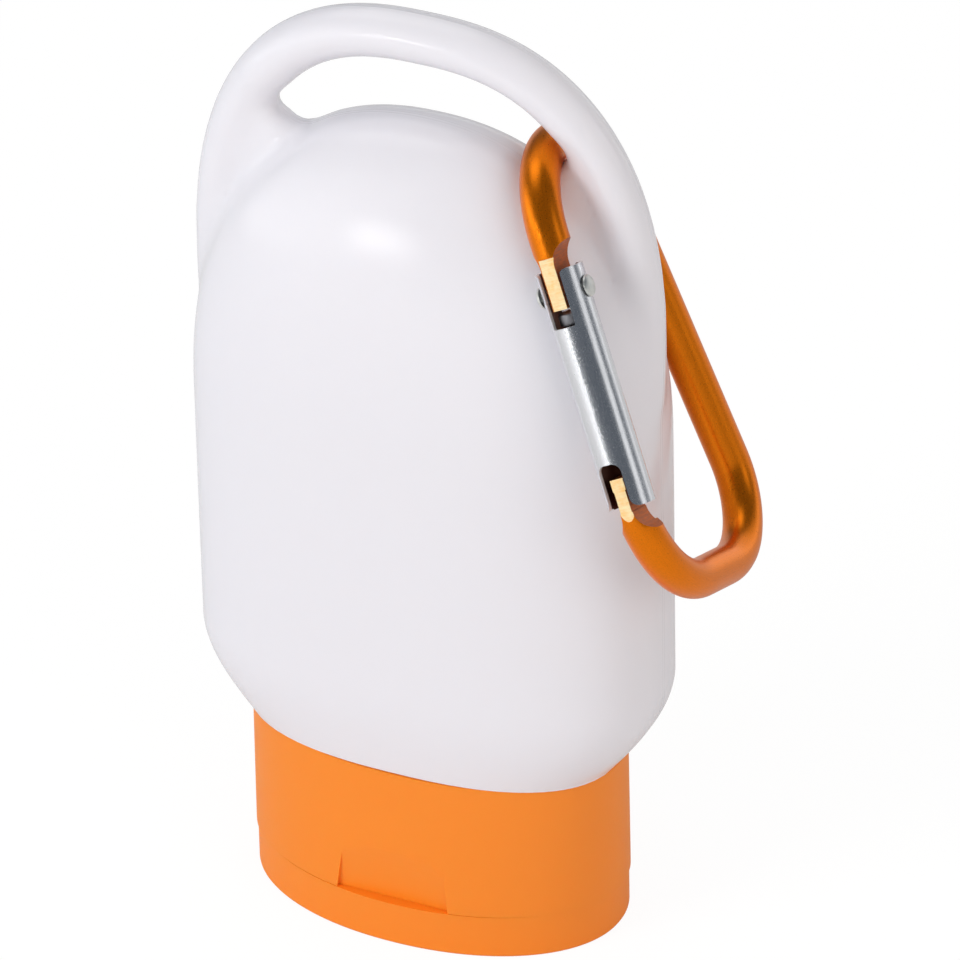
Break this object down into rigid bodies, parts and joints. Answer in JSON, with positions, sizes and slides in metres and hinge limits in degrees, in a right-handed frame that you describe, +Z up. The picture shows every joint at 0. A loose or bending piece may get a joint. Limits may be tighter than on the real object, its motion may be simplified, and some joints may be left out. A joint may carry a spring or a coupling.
{
  "type": "sunscreen bottle",
  "caption": "Pocket bottle with a moulded loop handle, standing on its flip-top closure, with a wire clip ring hung in the handle.",
  "frame": {"origin": "the middle of the closed lid's flat outer face, which the bottle stands on", "axes": "+Z up along the bottle's height, +X along its width to the side where the clip ring hangs, -Y to the front, where the closure's thumb recess is"},
  "size_m": [0.0599, 0.0298, 0.1019],
  "materials": {
    "white_bottle": "satin-gloss opaque white blow-moulded plastic",
    "orange_closure": "satin orange moulded plastic",
    "orange_lid": "satin orange moulded plastic",
    "orange_hinge": "satin orange moulded plastic film",
    "orange_anodised_wire": "orange anodised aluminium wire",
    "gate_sheet": "bright rolled sheet",
    "rivet_steel": "dull headed rivet",
    "plunger_steel": "plain steel",
    "spring_steel": "plain spring wire"
  },
  "bodies": {
    "bottle_body": {"bottle": "white_bottle", "closure_base": "orange_closure", "living_hinge": "orange_hinge"},
    "lid": {"flip_lid": "orange_lid"},
    "clip_ring": {"carabiner_frame": "orange_anodised_wire"},
    "gate": {"carabiner_gate": "gate_sheet", "gate_rivet": "rivet_steel", "gate_spring": "spring_steel"},
    "plunger": {"gate_plunger": "plunger_steel"}
  },
  "joints": [
    {"name": "lid_hinge", "type": "hinge", "parent": "bottle_body", "child": "lid", "pos_m": [0, 0.0126, 0.005], "axis": [1, 0, 0], "range_deg": [0, 130], "deforming": ["living_hinge"]},
    {"name": "ring_swing", "type": "hinge", "parent": "bottle_body", "child": "clip_ring", "pos_m": [0.0128, 0, 0.0895], "axis": [0, -1, 0], "range_deg": [0, 120]},
    {"name": "gate_hinge", "type": "hinge", "parent": "clip_ring", "child": "gate", "pos_m": [0.01889, -0.00871, 0.07994], "axis": [0.8976, 0.1583, 0.4115], "range_deg": [0, 15], "stiffness_Nm_per_rad": 0.01, "springref_deg": -17.19, "deforming": ["gate_spring"]},
    {"name": "plunger_slide", "type": "slide", "parent": "gate", "child": "plunger", "axis": [0.4404, -0.2796, -0.8531], "range_m": [0, 0.0006]}
  ],
  "couplings": [
    {"joint": "plunger_slide", "follows": "gate_hinge", "m_per_rad": 0.0018}
  ]
}
